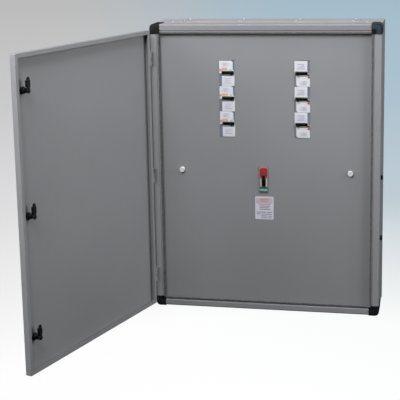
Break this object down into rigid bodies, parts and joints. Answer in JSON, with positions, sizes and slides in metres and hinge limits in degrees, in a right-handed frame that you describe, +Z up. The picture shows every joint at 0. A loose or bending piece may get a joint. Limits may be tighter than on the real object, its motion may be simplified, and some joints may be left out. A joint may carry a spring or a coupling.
{
  "type": "wall-mounted electrical panelboard",
  "caption": "Grey steel panelboard cabinet with a hinged door held by quarter-turn latches, an inner cover plate, two columns of toggle breakers and a central main switch.",
  "frame": {"origin": "centre of the four wall fixings, on the wall side of the back panel", "axes": "+Z up, +Y from the door side to the wall, +X to the right as seen from the front"},
  "size_m": [1.2076, 1.1631, 1.2084],
  "materials": {
    "painted_steel": "semi-gloss powder coat, grey",
    "frame_paint": "semi-gloss powder coat, grey",
    "black_moulding": "moulded black",
    "seal_rubber": "dark extruded rubber",
    "zinc_plate": "zinc-plated",
    "bright_metal": "bright plated",
    "switch_case": "light grey moulded",
    "toggle_black": "black moulded",
    "trip_red": "red moulded",
    "on_red": "red plate",
    "off_green": "green plate",
    "label_card": "printed card with plain bars",
    "copper_bar": "plain copper",
    "insulator": "moulded insulator",
    "brass_bar": "plain brass"
  },
  "bodies": {
    "cabinet": {"back_panel": "painted_steel", "side_panel_left": "painted_steel", "side_panel_right": "painted_steel", "top_panel": "painted_steel", "bottom_panel": "painted_steel", "rear_frame_rails": "frame_paint", "frame_rail_left": "frame_paint", "frame_rail_right": "frame_paint", "frame_rail_top": "frame_paint", "frame_rail_bottom": "frame_paint", "frame_corners": "black_moulding", "frame_seal": "seal_rubber", "gland_plates": "painted_steel", "panel_screws": "zinc_plate", "side_plugs": "black_moulding", "cover_plate": "painted_steel", "cover_supports": "zinc_plate", "label_card": "label_card", "mounting_pan": "zinc_plate", "pan_standoffs": "zinc_plate", "breaker_body_1": "switch_case", "breaker_body_2": "switch_case", "breaker_body_3": "switch_case", "breaker_body_4": "switch_case", "breaker_body_5": "switch_case", "breaker_body_6": "switch_case", "main_switch_body": "switch_case", "main_on_plate": "on_red", "main_off_plate": "off_green", "busbars": "copper_bar", "busbar_supports": "insulator", "branch_links": "copper_bar", "neutral_bar": "brass_bar", "earth_bar": "brass_bar", "frame_hinge_leaves": "zinc_plate", "hinge_pins": "bright_metal"},
    "door": {"door_panel": "painted_steel", "door_hinge_leaves": "zinc_plate", "latch_housings": "black_moulding"},
    "latch_1": {"latch_spindle_1": "zinc_plate", "latch_cam_1": "black_moulding"},
    "latch_2": {"latch_spindle_2": "zinc_plate", "latch_cam_2": "black_moulding"},
    "latch_3": {"latch_spindle_3": "zinc_plate", "latch_cam_3": "black_moulding"},
    "knob_left": {"cover_knob_left": "bright_metal"},
    "knob_right": {"cover_knob_right": "bright_metal"},
    "toggle_1": {"breaker_toggle_1": "toggle_black"},
    "toggle_2": {"breaker_toggle_2": "toggle_black"},
    "toggle_3": {"breaker_toggle_3": "toggle_black"},
    "toggle_4": {"breaker_toggle_4": "toggle_black"},
    "toggle_5": {"breaker_toggle_5": "toggle_black"},
    "toggle_6": {"breaker_toggle_6": "toggle_black"},
    "main_lever": {"main_toggle": "toggle_black"},
    "button_1": {"trip_button_1": "trip_red"},
    "button_2": {"trip_button_2": "trip_red"},
    "button_3": {"trip_button_3": "trip_red"},
    "button_4": {"trip_button_4": "trip_red"},
    "button_5": {"trip_button_5": "trip_red"},
    "button_6": {"trip_button_6": "trip_red"}
  },
  "joints": [
    {"name": "door_hinge", "type": "hinge", "parent": "cabinet", "child": "door", "pos_m": [-0.468, -0.279, 0], "axis": [0, 0, 1], "range_deg": [-14, 106]},
    {"name": "latch_turn_1", "type": "hinge", "parent": "door", "child": "latch_1", "pos_m": [-0.71233, -1.10568, 0.447], "axis": [0.9613, -0.2756, 0], "range_deg": [0, 90]},
    {"name": "latch_turn_2", "type": "hinge", "parent": "door", "child": "latch_2", "pos_m": [-0.71233, -1.10568, 0], "axis": [0.9613, -0.2756, 0], "range_deg": [0, 90]},
    {"name": "latch_turn_3", "type": "hinge", "parent": "door", "child": "latch_3", "pos_m": [-0.71233, -1.10568, -0.447], "axis": [0.9613, -0.2756, 0], "range_deg": [0, 90]},
    {"name": "knob_turn_left", "type": "hinge", "parent": "cabinet", "child": "knob_left", "pos_m": [-0.35, -0.245, -0.007], "axis": [0, 1, 0], "range_deg": [0, 90]},
    {"name": "knob_turn_right", "type": "hinge", "parent": "cabinet", "child": "knob_right", "pos_m": [0.35, -0.245, -0.007], "axis": [0, 1, 0], "range_deg": [0, 90]},
    {"name": "toggle_swing_1", "type": "hinge", "parent": "cabinet", "child": "toggle_1", "pos_m": [-0.151, -0.2, 0.3985], "axis": [0, 0, 1], "range_deg": [-32, 0]},
    {"name": "toggle_swing_2", "type": "hinge", "parent": "cabinet", "child": "toggle_2", "pos_m": [-0.151, -0.2, 0.2935], "axis": [0, 0, 1], "range_deg": [-32, 0]},
    {"name": "toggle_swing_3", "type": "hinge", "parent": "cabinet", "child": "toggle_3", "pos_m": [-0.151, -0.2, 0.1885], "axis": [0, 0, 1], "range_deg": [-32, 0]},
    {"name": "toggle_swing_4", "type": "hinge", "parent": "cabinet", "child": "toggle_4", "pos_m": [0.151, -0.2, 0.3985], "axis": [0, 0, 1], "range_deg": [0, 32]},
    {"name": "toggle_swing_5", "type": "hinge", "parent": "cabinet", "child": "toggle_5", "pos_m": [0.151, -0.2, 0.2935], "axis": [0, 0, 1], "range_deg": [0, 32]},
    {"name": "toggle_swing_6", "type": "hinge", "parent": "cabinet", "child": "toggle_6", "pos_m": [0.151, -0.2, 0.1885], "axis": [0, 0, 1], "range_deg": [0, 32]},
    {"name": "main_lever_swing", "type": "hinge", "parent": "cabinet", "child": "main_lever", "pos_m": [-0.006, -0.2, -0.052], "axis": [1, 0, 0], "range_deg": [0, 28]},
    {"name": "button_press_1", "type": "slide", "parent": "cabinet", "child": "button_1", "axis": [0, 1, 0], "range_m": [0, 0.002], "stiffness_N_per_m": 300},
    {"name": "button_press_2", "type": "slide", "parent": "cabinet", "child": "button_2", "axis": [0, 1, 0], "range_m": [0, 0.002], "stiffness_N_per_m": 300},
    {"name": "button_press_3", "type": "slide", "parent": "cabinet", "child": "button_3", "axis": [0, 1, 0], "range_m": [0, 0.002], "stiffness_N_per_m": 300},
    {"name": "button_press_4", "type": "slide", "parent": "cabinet", "child": "button_4", "axis": [0, 1, 0], "range_m": [0, 0.002], "stiffness_N_per_m": 300},
    {"name": "button_press_5", "type": "slide", "parent": "cabinet", "child": "button_5", "axis": [0, 1, 0], "range_m": [0, 0.002], "stiffness_N_per_m": 300},
    {"name": "button_press_6", "type": "slide", "parent": "cabinet", "child": "button_6", "axis": [0, 1, 0], "range_m": [0, 0.002], "stiffness_N_per_m": 300}
  ]
}
